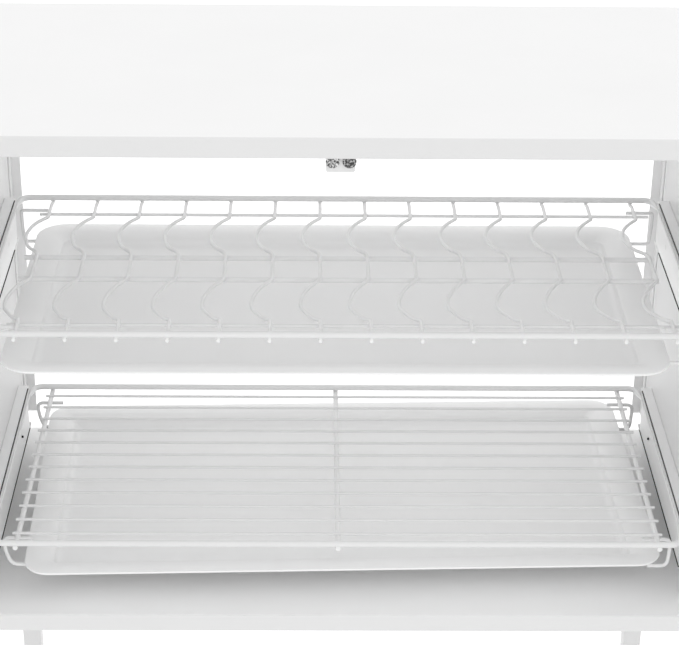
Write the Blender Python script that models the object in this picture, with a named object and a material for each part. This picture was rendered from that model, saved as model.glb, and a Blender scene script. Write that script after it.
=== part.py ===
"""Over-the-sink dish rack: a two-door cabinet on legs with two wire racks on telescopic slides.

Metres, +Z up, front towards -Y. The origin lies on the floor under the middle of the part as it
stands with both doors open. Heights inside the cabinet are counted from the floor as well.
"""
import math

import bmesh
import bpy
from mathutils import Matrix, Vector

# Clearances
seat = 0.0003            # between pieces that touch
run = 0.0006             # between pieces that slide or turn on each other
weld = 0.0010            # how deep crossing wires are welded into each other

# Boards and legs
board_length = 0.720
board_depth = 0.350
top_board_thickness = 0.0193
bottom_board_thickness = 0.0178
board_edge_round = 0.0012
opening_height = 0.4628  # between the two boards
leg_length = 0.338
post_size = 0.020
post_wall = 0.0012
post_inset = 0.0053      # outer faces of the posts, from the ends of the boards
front_post_setback = 0.021
side_sheet = 0.0012
side_fold = 0.008
strip_width = 0.0102
strip_fold = 0.013
strip_sheet = 0.0012
strip_lift = 0.021       # the strip stops short of the bottom board

# Feet
foot_radius = 0.0155
foot_height = 0.012
foot_chamfer = 0.002
foot_plug_height = 0.014
foot_plug_play = 0.0004

# Telescopic slides, one section seen from its end
slide_length = 0.270
slide_front = 0.143      # front end of the fixed member, from the middle
slide_depth = 0.0110
slide_height = 0.0460
slide_metal = 0.0012
slide_lip = 0.0018
slide_gap = 0.0012       # dark line above and below the inner member
middle_height = 0.0340
inner_channel_height = 0.0274
inner_hole_radius = 0.0026
inner_hole_back = 0.053  # from the rear end of the inner member

# Racks
loop_wire = 0.0060
rack_depth = 0.2984      # between the front and rear wires
rack_corner = 0.010
plate_wire = 0.0035
plate_count = 14
plate_end_gap = 0.0269   # from the rack's outer wire to the first and last plate wire
plate_shift = 0.0049     # the row of plate wires sits a little to the right
rear_bend_side = 0.0180  # the two bends of a plate wire, to the side and down
front_bend_side = 0.0205
plate_bend_drop = 0.0045
plate_end_past = 0.0045  # plate wires end this far past the middle of the front wire
plate_ramp = 0.0070      # length over which a plate wire dips under the rack's outer wire
rear_bend_start = 0.0160  # the bends of a plate wire start and end this far from cross wires
rear_bend_end = 0.0085
front_bend_start = 0.0091
front_bend_end = 0.0061
thin_wire = 0.0027
thin_wire_inset = 0.027
mid_rail_wire = 0.0050
mid_rail_spread = 0.0235
bearer_wire = 0.0050
bearer_inset = 0.0200    # outer bearers, from the rack's outer wire
shelf_wire = 0.0028
shelf_count = 12
shelf_first = 0.0153     # first and last shelf wire, from the rear and the front wire
shelf_last = 0.0213
shelf_overhang = 0.0050  # shelf wires past the outer bearers

# Where each rack stands at rest: rear wire, middle height of its slide above the bottom board
lower_rack_rear = 0.1360
upper_rack_rear = 0.1424
rack_home = 0.1500       # rear wire of a rack that is pushed fully in
lower_slide_height = 0.05515
upper_slide_height = 0.27075
loop_above_slide = 0.0170

# Hooks that carry a tray
hook_wire = 0.0036
hook_top_reach = 0.0270
hook_inset = 0.0060      # outer side of a hook, from the rack's outer wire
hook_lean = 0.0040       # a hook's foot leans in this much
hook_tip_reach = 0.0200
hook_rear_inset = 0.0190
hook_front_inset = 0.0230

# Trays
tray_side_gap = 0.0228   # from the rack's outer wire to the tray, at each end
tray_depth_extra = 0.0106  # the tray is this much deeper than the rack, front to rear
lower_tray_behind = 0.0162  # how far each tray reaches behind the rear wire of its rack
upper_tray_behind = 0.0046
lower_tray_below = 0.0345  # from the middle of a rack's outer wire down to its tray's rim
upper_tray_below = 0.0305
tray_height = 0.0160
tray_wall = 0.0020
tray_rim = 0.0160
tray_rim_thickness = 0.0022
tray_corner = 0.0330
tray_slope = 0.0070      # how far the long walls lean in before their round foot
tray_end_slope = 0.0090  # how far the end walls lean in
tray_floor_round = 0.0080

# Doors
door_thickness = 0.0080
door_profile = 0.0190
door_setback = 0.0005    # door face behind the front edge of the boards
door_foot_gap = 0.0090
door_head_gap = 0.0050
door_meeting_gap = 0.0016
pivot_inset = 0.0180     # pivot axes, from the ends of the boards
pivot_edge = 0.0080      # pivot axis from the end of the door
pivot_pin_radius = 0.0020
pivot_play = 0.0001      # between a pin and its hole, all round
pin_into_board = 0.0080  # upper pins reach into holes in the top board
pivot_socket_radius = 0.0040
pivot_socket_share = 0.7
glass_thickness = 0.0030
glass_into_profile = 0.0050
glass_play = 0.0004
gasket_width = 0.0025
gasket_height = 0.0018
door_open_at_rest = math.radians(120)

# Magnetic catch and its strike plates
catch_width = 0.0250
catch_height = 0.0150
catch_depth = 0.0150
catch_plate = 0.0015
magnet_radius = 0.0055
magnet_spread = 0.0076
magnet_below_board = 0.0085
magnet_proud = 0.0015
strike_width = 0.0110
strike_height = 0.0110
strike_thickness = 0.0010
strike_from_edge = 0.0015

# Facets
wire_sides = 8
thin_wire_sides = 6
corner_steps = 5
round_steps = 16
tray_round_steps = 4
smooth_angle = math.radians(35)
# Bends of a plate wire, as shares of the way along and of the way to the side
rear_bend_shares = ((0, 0), (0.137, 0.54), (0.268, 0.88), (0.5, 1), (0.808, 0.68), (1, 0))
front_bend_shares = ((0, 0), (0.172, 0.57), (0.329, 0.89), (0.477, 1), (0.645, 0.92), (0.79, 0.68),
                     (0.932, 0.37), (1, 0))

# Worked out from the sizes above
leg_top = foot_height + leg_length
board_low_top = leg_top + bottom_board_thickness
board_high_bottom = board_low_top + opening_height
board_high_top = board_high_bottom + top_board_thickness
post_inner_x = board_length / 2 - post_inset - post_size
pivot_x = board_length / 2 - pivot_inset
front_y = -board_depth / 2
rear_y = board_depth / 2
front_post_y = front_y + front_post_setback
rear_post_y = rear_y - post_size
slide_face_x = post_inner_x - slide_depth - seat
loop_outer_x = slide_face_x - seat - seat / 2
loop_x = loop_outer_x - loop_wire / 2
plate_pitch = 2 * (loop_x - plate_end_gap) / (plate_count - 1)
shelf_pitch = (rack_depth - shelf_first - shelf_last) / (shelf_count - 1)
bearer_x = loop_x - bearer_inset
hook_x = loop_x - hook_inset
tray_length = 2 * (loop_x - tray_side_gap)
tray_depth = rack_depth + tray_depth_extra
door_y = front_y + door_setback + door_thickness / 2
door_back_y = door_y + door_thickness / 2
door_width = pivot_x + pivot_edge - door_meeting_gap / 2
door_low = board_low_top + door_foot_gap
door_high = board_high_bottom - door_head_gap
door_height = door_high - door_low
door_reach = door_width - pivot_edge
open_front_y = (door_y - door_reach * math.sin(door_open_at_rest)
                - door_thickness / 2 * abs(math.cos(door_open_at_rest)))
stand_shift = -(open_front_y + rear_y) / 2


def clear_scene():
    """Remove every object of the scene this file is run in."""
    for old in list(bpy.data.objects):
        bpy.data.objects.remove(old, do_unlink=True)


def make_material(name, colour, roughness, metallic=0.0, alpha=1.0):
    """A Principled material with a plain colour."""
    material = bpy.data.materials.new(name)
    material.use_nodes = True
    shader = material.node_tree.nodes["Principled BSDF"]
    shader.inputs["Base Color"].default_value = (*colour, 1.0)
    shader.inputs["Roughness"].default_value = roughness
    shader.inputs["Metallic"].default_value = metallic
    shader.inputs["Alpha"].default_value = alpha
    return material


def make_anchor(name, place=(0, 0, 0), parent=None):
    """An empty that carries the pieces of one moving group."""
    anchor = bpy.data.objects.new(name, None)
    bpy.context.collection.objects.link(anchor)
    anchor.location = place
    anchor.parent = parent
    return anchor


def add_mesh(name, bm, material, parent, smooth=False):
    """Turn a bmesh into a named object with its material."""
    bmesh.ops.recalc_face_normals(bm, faces=bm.faces)
    mesh = bpy.data.meshes.new(name)
    bm.to_mesh(mesh)
    bm.free()
    if smooth:
        mesh.shade_smooth()
        mesh.set_sharp_from_angle(angle=smooth_angle)
    made = bpy.data.objects.new(name, mesh)
    bpy.context.collection.objects.link(made)
    made.data.materials.append(material)
    made.parent = parent
    return made


def add_box(bm, low, high):
    """Add a box between two corners to a bmesh."""
    size = [b - a for a, b in zip(low, high)]
    middle = [(a + b) / 2 for a, b in zip(low, high)]
    place = Matrix.Translation(middle) @ Matrix.Diagonal((*size, 1.0))
    return bmesh.ops.create_cube(bm, size=1.0, matrix=place)["verts"]


def add_prism(bm, outline, start, end, spread):
    """Extrude a closed outline from start to end. spread(point, along) gives a corner in space."""
    rings = [[bm.verts.new(spread(p, along)) for p in outline] for along in (start, end)]
    bm.faces.new(rings[0])
    bm.faces.new(list(reversed(rings[1])))
    count = len(outline)
    for i in range(count):
        j = (i + 1) % count
        bm.faces.new((rings[0][j], rings[0][i], rings[1][i], rings[1][j]))


def add_turned(bm, profile, steps, place=(0, 0, 0), axis="Z"):
    """Turn a closed profile of (radius, height) around an axis through place."""
    turn = {"X": Matrix.Rotation(math.pi / 2, 4, "Y"), "Y": Matrix.Rotation(math.pi / 2, 4, "X"),
            "Z": Matrix.Identity(4)}[axis]
    where = Matrix.Translation(place) @ turn
    rings = []
    for radius, height in profile:
        around = [math.tau * k / steps for k in range(steps)] if radius > 0 else [0.0]
        ring = [bm.verts.new(where @ Vector((radius * math.cos(a), radius * math.sin(a), height)))
                for a in around]
        rings.append(ring if radius > 0 else ring * steps)
    for here, following in zip(rings, rings[1:] + rings[:1]):
        for k in range(steps):
            n = (k + 1) % steps
            corners = list(dict.fromkeys((here[k], here[n], following[n], following[k])))
            if len(corners) > 2:
                bm.faces.new(corners)


def add_wires(name, runs, wire, sides, material, parent, closed=False):
    """A node of round wires, one for each run of points, with flat cut ends."""
    curve = bpy.data.curves.new(name, "CURVE")
    curve.dimensions = "3D"
    curve.bevel_depth = wire / 2
    curve.bevel_resolution = (sides - 4) // 2
    curve.use_fill_caps = not closed
    for points in runs:
        spline = curve.splines.new("POLY")
        spline.points.add(len(points) - 1)
        for slot, point in zip(spline.points, points):
            slot.co = (*point, 1.0)
        spline.use_cyclic_u = closed
        spline.use_smooth = True
    curve.materials.append(material)
    made = bpy.data.objects.new(name, curve)
    bpy.context.collection.objects.link(made)
    made.parent = parent
    return made


def weld_wires(name, lengthwise, crossing, material, parent):
    """One node from wires welded where they cross. Each group is [(runs, wire, sides), ...]."""
    meshes = []
    for kind, groups in (("lengthwise", lengthwise), ("crossing", crossing)):
        bm = bmesh.new()
        for runs, wire, sides in groups:
            drawn = add_wires(f"{name}_{kind}", runs, wire, sides, material, None)
            bpy.context.view_layer.update()
            made = bpy.data.meshes.new_from_object(drawn)
            bm.from_mesh(made)
            bpy.data.objects.remove(drawn, do_unlink=True)
        bmesh.ops.remove_doubles(bm, verts=bm.verts, dist=seat / 10)
        meshes.append(bm)
    welded = add_mesh(name, meshes[0], material, parent)
    cutter = add_mesh(f"{name}_crossing", meshes[1], material, parent)
    cutter.hide_render = True
    cutter.display_type = "WIRE"
    union = welded.modifiers.new("welds", "BOOLEAN")
    union.operation = "UNION"
    union.solver = "EXACT"
    union.object = cutter
    return welded


def corner_arc(centre, radius, first, last, steps):
    """Points on a level arc from one angle to another."""
    return [(centre[0] + radius * math.cos(first + (last - first) * i / steps),
             centre[1] + radius * math.sin(first + (last - first) * i / steps),
             centre[2]) for i in range(steps + 1)]


def rounded_ring(half_x, half_y, radius, height, steps, middle_y=0.0):
    """Points around a rectangle with round corners, at one height."""
    points = []
    for quarter in range(4):
        side_x = 1 if quarter in (0, 3) else -1
        side_y = 1 if quarter in (0, 1) else -1
        centre = (side_x * (half_x - radius), middle_y + side_y * (half_y - radius), height)
        first = quarter * math.pi / 2
        points += corner_arc(centre, radius, first, first + math.pi / 2, steps)
    return points


def build_boards(cabinet, materials):
    """The top and bottom boards."""
    for name, low, high in (("top_panel", board_high_bottom, board_high_top),
                            ("bottom_panel", leg_top, board_low_top)):
        bm = bmesh.new()
        add_box(bm, (-board_length / 2, front_y, low), (board_length / 2, rear_y, high))
        bmesh.ops.bevel(bm, geom=list(bm.edges), offset=board_edge_round, segments=2, profile=0.5,
                        affect="EDGES")
        board = add_mesh(name, bm, materials["board"], cabinet)
        if name == "top_panel":
            cut_round_holes(board, [(sign * pivot_x, door_y, low) for sign in (-1, 1)],
                            pivot_pin_radius + pivot_play, pin_into_board + run, cabinet, "Z")


def add_square_tube(bm, low_x, low_y, low_z, high_z):
    """An open-ended square tube of the post's section."""
    def ring(inset, height):
        corners = [(inset, inset), (post_size - inset, inset),
                   (post_size - inset, post_size - inset), (inset, post_size - inset)]
        return [bm.verts.new((low_x + x, low_y + y, height)) for x, y in corners]

    rings = [ring(0, low_z), ring(0, high_z), ring(post_wall, high_z), ring(post_wall, low_z)]
    for i, here in enumerate(rings):
        following = rings[(i + 1) % 4]
        for k in range(4):
            n = (k + 1) % 4
            bm.faces.new((here[k], here[n], following[n], following[k]))


def build_posts(cabinet, materials):
    """Posts between the boards and legs below them, at the four corners, with a foot in each leg."""
    for end, low_y in (("front", front_post_y), ("rear", rear_post_y)):
        for side, sign in (("left", -1), ("right", 1)):
            low_x = sign * (post_inner_x + post_size / 2) - post_size / 2
            for kind, low_z, high_z in (
                    ("post", board_low_top + seat, board_high_bottom - seat),
                    ("leg", foot_height + seat, leg_top - seat)):
                bm = bmesh.new()
                add_square_tube(bm, low_x, low_y, low_z, high_z)
                add_mesh(f"{kind}_{end}_{side}", bm, materials["steel_white"], cabinet)
            middle = (low_x + post_size / 2, low_y + post_size / 2, 0)
            plug = post_size / 2 - post_wall - foot_plug_play
            foot = bmesh.new()
            add_turned(foot, [(0, 0), (foot_radius - foot_chamfer, 0), (foot_radius, foot_chamfer),
                              (foot_radius, foot_height - foot_chamfer),
                              (foot_radius - foot_chamfer, foot_height),
                              (plug, foot_height), (plug, foot_height + foot_plug_height),
                              (0, foot_height + foot_plug_height)], round_steps, middle)
            add_mesh(f"foot_{end}_{side}", foot, materials["foot"], cabinet, smooth=True)


def build_sides(cabinet, materials):
    """Folded side sheets between the posts, and the narrow strips along the rear posts."""
    inner = post_inner_x
    start, end = front_post_y + post_size + seat, rear_post_y - seat
    for side, sign in (("left", -1), ("right", 1)):
        fold, sheet = inner + side_fold, inner + side_sheet
        outline = [(inner, start), (fold, start), (fold, start + side_sheet),
                   (sheet, start + side_sheet), (sheet, end - side_sheet),
                   (fold, end - side_sheet), (fold, end), (inner, end)]
        bm = bmesh.new()
        add_prism(bm, outline, board_low_top + seat, board_high_bottom - seat,
                  lambda p, z, sign=sign: (sign * p[0], p[1], z))
        add_mesh(f"side_panel_{side}", bm, materials["steel_white"], cabinet)

        flank = inner - seat
        tip = flank - strip_width
        face, back = rear_y - strip_sheet, rear_y
        strip = [(tip, face), (flank - strip_sheet, face), (flank - strip_sheet, face - strip_fold),
                 (flank, face - strip_fold), (flank, back), (tip, back)]
        bm = bmesh.new()
        add_prism(bm, strip, board_low_top + strip_lift, board_high_bottom - seat,
                  lambda p, z, sign=sign: (sign * p[0], p[1], z))
        add_mesh(f"rear_strip_{side}", bm, materials["steel_white"], cabinet)


def slide_sections():
    """Outlines of the three slide members as (x from the visible face, z from the middle)."""
    half, wall = slide_height / 2, slide_depth
    outer = [(0, half), (wall, half), (wall, -half), (0, -half), (0, slide_lip - half),
             (wall - slide_metal, slide_lip - half), (wall - slide_metal, half - slide_lip),
             (0, half - slide_lip)]
    web_back = wall - slide_metal - run
    web_front = web_back - slide_metal
    tall = middle_height / 2
    tip = 2 * slide_metal + run
    middle = [(tip, tall), (web_back, tall), (web_back, -tall), (tip, -tall),
              (tip, slide_metal - tall), (web_front, slide_metal - tall),
              (web_front, tall - slide_metal), (tip, tall - slide_metal)]
    face = half - slide_lip - slide_gap
    channel = inner_channel_height / 2
    reach = web_front - run
    inner = [(0, face), (slide_metal, face), (slide_metal, channel), (reach, channel),
             (reach, channel - slide_metal), (slide_metal, channel - slide_metal),
             (slide_metal, slide_metal - channel), (reach, slide_metal - channel),
             (reach, -channel), (slide_metal, -channel), (slide_metal, -face), (0, -face)]
    return {"outer": outer, "middle": middle, "inner": inner}


def add_slide_member(name, outline, sign, height, front, material, parent):
    """One slide member, a rolled section along Y."""
    bm = bmesh.new()
    add_prism(bm, outline, front, front + slide_length,
              lambda p, y: (sign * (slide_face_x + p[0]), y, height + p[1]))
    return add_mesh(name, bm, material, parent)


def cut_round_holes(target, places, radius, depth, parent, axis):
    """Cut round holes as deep as depth to both sides of their places, with a hidden cutter."""
    bm = bmesh.new()
    for place in places:
        add_turned(bm, [(0, -depth), (radius, -depth), (radius, depth), (0, depth)],
                   round_steps, place, axis)
    cutter = add_mesh(target.name + "_cutter", bm, target.data.materials[0], parent)
    cutter.hide_render = True
    cutter.display_type = "WIRE"
    cut = target.modifiers.new("holes", "BOOLEAN")
    cut.operation = "DIFFERENCE"
    cut.solver = "EXACT"
    cut.object = cutter


def build_slides(cabinet, level, rack_rear, height, anchors, materials):
    """Four members' worth of slides for one rack: fixed outer, middle and inner, both sides."""
    sections = slide_sections()
    pulled = rack_rear - rack_home
    fixed_front = -slide_front
    for side, sign in (("left", -1), ("right", 1)):
        add_slide_member(f"slide_outer_{level}_{side}", sections["outer"], sign, height,
                         fixed_front, materials["slide"], cabinet)
        add_slide_member(f"slide_middle_{level}_{side}", sections["middle"], sign, height,
                         fixed_front + pulled / 2, materials["slide"],
                         anchors[f"middle_{level}_{side}"])
        inner = add_slide_member(f"slide_inner_{level}_{side}", sections["inner"], sign, height,
                                 fixed_front + pulled, materials["steel_white"],
                                 anchors[f"rack_{level}"])
        hole_y = fixed_front + pulled + slide_length - inner_hole_back
        cut_round_holes(inner, [(sign * (slide_face_x + slide_metal / 2), hole_y, height)],
                        inner_hole_radius, slide_metal, anchors[f"rack_{level}"], "X")


def build_loop(name, rear, height, material, parent):
    """The outer wire of a rack."""
    half_y = rack_depth / 2
    points = rounded_ring(loop_x, half_y, rack_corner, height, corner_steps, rear - half_y)
    add_wires(name, [points], loop_wire, wire_sides, material, parent, closed=True)


def plate_wire_run(x, rear, level, under):
    """One plate wire: under the rear wire, two sideways bends, and out under the front wire."""
    front = rear - rack_depth
    half = loop_wire / 2
    points = [(x, rear + half, under), (x, rear - half, under), (x, rear - half - plate_ramp, level)]
    middle = (rear + front) / 2
    for first, last, side, shares in (
            (rear - thin_wire_inset - rear_bend_start, middle + mid_rail_spread + rear_bend_end,
             rear_bend_side, rear_bend_shares),
            (middle - mid_rail_spread - front_bend_start, front + thin_wire_inset + front_bend_end,
             front_bend_side, front_bend_shares)):
        for along, out in shares:
            points.append((x - side * out, first - (first - last) * along,
                           level - plate_bend_drop * out ** 2))
    points += [(x, front + half + plate_ramp, level), (x, front + half, under),
               (x, front - plate_end_past, under)]
    return points


def build_upper_rack(anchor, rear, height, tray_below, materials):
    """Loop, cross wires and plate wires of the upper rack."""
    front = rear - rack_depth
    middle = (rear + front) / 2
    material = materials["wire"]
    build_loop("upper_rack_frame", rear, height, material, anchor)
    reach = loop_outer_x - seat
    below = loop_wire / 2 + seat
    thin_z = height - below - thin_wire / 2
    rail_z = height - below - mid_rail_wire / 2
    level = height - below - weld + plate_wire / 2
    under = height - below - plate_wire / 2
    first = plate_shift - plate_pitch * (plate_count - 1) / 2
    plates = [plate_wire_run(first + i * plate_pitch, rear, level, under)
              for i in range(plate_count)]
    thin = [[(-reach, y, thin_z), (reach, y, thin_z)]
            for y in (rear - thin_wire_inset, front + thin_wire_inset)]
    rails = [[(-reach, y, rail_z), (reach, y, rail_z)]
             for y in (middle + mid_rail_spread, middle - mid_rail_spread)]
    hooks = hook_runs(rear, level - plate_wire / 2, height - tray_below)
    weld_wires("plate_grid", [(plates, plate_wire, thin_wire_sides)],
               [(thin, thin_wire, thin_wire_sides), (rails, mid_rail_wire, wire_sides),
                (hooks, hook_wire, thin_wire_sides)], material, anchor)


def build_lower_rack(anchor, rear, height, tray_below, materials):
    """Loop, bearers and shelf wires of the lower rack."""
    front = rear - rack_depth
    material = materials["wire"]
    build_loop("lower_rack_frame", rear, height, material, anchor)
    bearer_z = height - loop_wire / 2 - seat - bearer_wire / 2
    bearers = [[(x, rear + loop_wire / 2, bearer_z), (x, front - loop_wire / 2, bearer_z)]
               for x in (-bearer_x, 0, bearer_x)]
    shelf_z = bearer_z + bearer_wire / 2 - weld + shelf_wire / 2
    reach = bearer_x + shelf_overhang
    shelf = [[(-reach, rear - shelf_first - i * shelf_pitch, shelf_z),
              (reach, rear - shelf_first - i * shelf_pitch, shelf_z)]
             for i in range(shelf_count)]
    hooks = hook_runs(rear, bearer_z - bearer_wire / 2, height - tray_below)
    weld_wires("shelf_grid", [(bearers, bearer_wire, wire_sides)],
               [(shelf, shelf_wire, thin_wire_sides), (hooks, hook_wire, thin_wire_sides)],
               material, anchor)


def hook_runs(rear, carrier_low, rim_top):
    """Four wire hooks under a rack, whose lower arms reach under the rim of the tray."""
    front = rear - rack_depth
    top = carrier_low + weld - hook_wire / 2
    low = rim_top - tray_rim_thickness - seat - hook_wire / 2
    bend = hook_wire
    runs = []
    for sign in (-1, 1):
        for y in (rear - hook_rear_inset, front + hook_front_inset):
            runs.append([(sign * (hook_x - inwards), y, z) for inwards, z in (
                (hook_top_reach, top), (bend, top), (bend / 4, top - bend / 4), (0, top - bend),
                (hook_lean, low + bend), (hook_lean + bend / 4, low + bend / 4),
                (hook_lean + bend, low), (hook_tip_reach, low))])
    return runs


def build_tray(name, rear, rim_top, materials, anchor):
    """A frosted drip tray: a tapered basin with a flat rim."""
    middle_y = rear - tray_depth / 2
    rim_low = rim_top - tray_rim_thickness
    floor = rim_top - tray_height
    half_x, half_y = tray_length / 2, tray_depth / 2
    body_x, body_y = half_x - tray_rim, half_y - tray_rim
    corner = tray_corner - tray_rim
    edge = tray_rim_thickness / 4

    def basin(inwards):
        """Rings of the wall and its round foot, from the wall's lower end down."""
        found = []
        for i in range(tray_round_steps + 1):
            turn = math.pi / 2 * i / tray_round_steps
            inset = inwards + tray_floor_round * (1 - math.cos(turn))
            height = floor + inwards + tray_floor_round * (1 - math.sin(turn))
            found.append((body_x - inset - tray_end_slope, body_y - inset - tray_slope,
                          corner - inset / 2, height))
        return found

    outside = [(half_x, half_y, tray_corner, rim_top - edge), (half_x, half_y, tray_corner, rim_low),
               (body_x, body_y, corner, rim_low), *basin(0)]
    inside = [(half_x - edge, half_y - edge, tray_corner - edge, rim_top),
              (body_x - tray_wall, body_y - tray_wall, corner - tray_wall / 2, rim_top),
              *basin(tray_wall)]
    bm = bmesh.new()
    rings = []
    for hx, hy, radius, z in list(reversed(inside)) + outside:
        ring = [bm.verts.new(p) for p in rounded_ring(hx, hy, radius, z, corner_steps, middle_y)]
        rings.append(ring)
    for here, following in zip(rings, rings[1:]):
        count = len(here)
        for k in range(count):
            n = (k + 1) % count
            bm.faces.new((here[k], here[n], following[n], following[k]))
    bm.faces.new(rings[0])
    bm.faces.new(list(reversed(rings[-1])))
    bmesh.ops.triangulate(bm, faces=[f for f in bm.faces if len(f.verts) > 4])
    add_mesh(name, bm, materials["tray"], anchor, smooth=True)


def profile_outline():
    """Section of the door frame: width from the outer edge, thickness from the outer face."""
    width, thick = door_profile, door_thickness
    groove = glass_thickness + 2 * glass_play
    low, high = (thick - groove) / 2, (thick + groove) / 2
    depth = width - glass_into_profile - glass_play
    return [(0, 0), (width, 0), (width, low), (depth, low), (depth, high), (width, high),
            (width, thick), (0, thick)]


def build_door(side, sign, hinge, materials):
    """One framed glass door about its pivot axis, closed along +X (left) or -X (right)."""
    steel, outline = materials["steel_white"], profile_outline()
    start = -pivot_edge
    length, height = door_width, door_height
    middle_x = start + length / 2
    middle_z = door_low + height / 2
    cut = seat / 2

    def at(along, through, z):
        return (sign * -1 * along, through - door_thickness / 2, z)

    def upright(edge, inward):
        def spread(p, end):
            return at(edge + inward * p[0], p[1], middle_z + end * (height / 2 - p[0] - cut))
        return spread

    def level(edge, inward):
        def spread(p, end):
            return at(middle_x + end * (length / 2 - p[0] - cut), p[1], edge + inward * p[0])
        return spread

    members = (("hinge_stile", upright(start, 1)), ("free_stile", upright(start + length, -1)),
               ("bottom_rail", level(door_low, 1)), ("top_rail", level(door_high, -1)))
    for name, spread in members:
        bm = bmesh.new()
        add_prism(bm, outline, -1, 1, spread)
        add_mesh(f"door_{side}_{name}", bm, steel, hinge)

    inset = door_profile - glass_into_profile
    low = at(start + inset, (door_thickness - glass_thickness) / 2, door_low + inset)
    high = at(start + length - inset, (door_thickness + glass_thickness) / 2, door_high - inset)
    bm = bmesh.new()
    add_box(bm, [min(a, b) for a, b in zip(low, high)], [max(a, b) for a, b in zip(low, high)])
    add_mesh(f"door_{side}_glass", bm, materials["glass"], hinge)

    bm = bmesh.new()
    back = (door_thickness + glass_thickness) / 2 + seat
    rings = []
    for inside, depth in ((seat, back), (gasket_width, back), (gasket_width, back + gasket_height),
                          (seat, back + gasket_height)):
        edge = door_profile + inside
        corners = [(start + edge, door_low + edge), (start + length - edge, door_low + edge),
                   (start + length - edge, door_high - edge), (start + edge, door_high - edge)]
        rings.append([bm.verts.new(at(x, depth, z)) for x, z in corners])
    for i, here in enumerate(rings):
        following = rings[(i + 1) % 4]
        for k in range(4):
            n = (k + 1) % 4
            bm.faces.new((here[k], here[n], following[n], following[k]))
    add_mesh(f"door_{side}_gasket", bm, materials["gasket"], hinge)

    for name, near, far in (
            ("lower", door_low - door_foot_gap + run, door_low - seat),
            ("upper", door_high + seat, door_high + door_head_gap + pin_into_board)):
        bm = bmesh.new()
        add_turned(bm, [(0, near), (pivot_pin_radius, near), (pivot_pin_radius, far), (0, far)],
                   round_steps)
        add_mesh(f"door_{side}_{name}_pin", bm, materials["bright"], hinge, smooth=True)

    bm = bmesh.new()
    far_edge = start + length - strike_from_edge
    top = door_high - strike_from_edge
    low = at(far_edge - strike_width, door_thickness + seat, top - strike_height)
    high = at(far_edge, door_thickness + seat + strike_thickness, top)
    add_box(bm, [min(a, b) for a, b in zip(low, high)], [max(a, b) for a, b in zip(low, high)])
    add_mesh(f"door_{side}_strike_plate", bm, materials["bright"], hinge)


def build_pivot_sockets(cabinet, materials):
    """Bushes on the bottom board that the lower door pins turn in."""
    hole = pivot_pin_radius + pivot_play
    for side, sign in (("left", -1), ("right", 1)):
        near, far = board_low_top + seat, board_low_top + door_foot_gap * pivot_socket_share
        bm = bmesh.new()
        add_turned(bm, [(hole, near), (pivot_socket_radius, near), (pivot_socket_radius, far),
                        (hole, far)], round_steps, (sign * pivot_x, door_y, 0))
        add_mesh(f"pivot_socket_{side}", bm, materials["bush"], cabinet, smooth=True)


def build_catch(cabinet, materials):
    """A double magnetic catch under the top board, where the doors meet."""
    front = door_back_y + seat * 2 + strike_thickness + magnet_proud
    top = board_high_bottom - seat
    low = top - catch_height
    bm = bmesh.new()
    outline = [(front, top), (front + catch_depth, top), (front + catch_depth, top - catch_plate),
               (front + catch_plate, top - catch_plate), (front + catch_plate, low), (front, low)]
    add_prism(bm, outline, -catch_width / 2, catch_width / 2, lambda p, x: (x, p[0], p[1]))
    add_mesh("catch_bracket", bm, materials["steel_white"], cabinet)
    for side, sign in (("left", -1), ("right", 1)):
        bm = bmesh.new()
        centre = (sign * magnet_spread, front - seat, board_high_bottom - magnet_below_board)
        add_turned(bm, [(0, 0), (magnet_radius, 0), (magnet_radius, magnet_proud - seat),
                        (0, magnet_proud - seat)], round_steps, centre, "Y")
        add_mesh(f"catch_magnet_{side}", bm, materials["bright"], cabinet, smooth=True)


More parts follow.
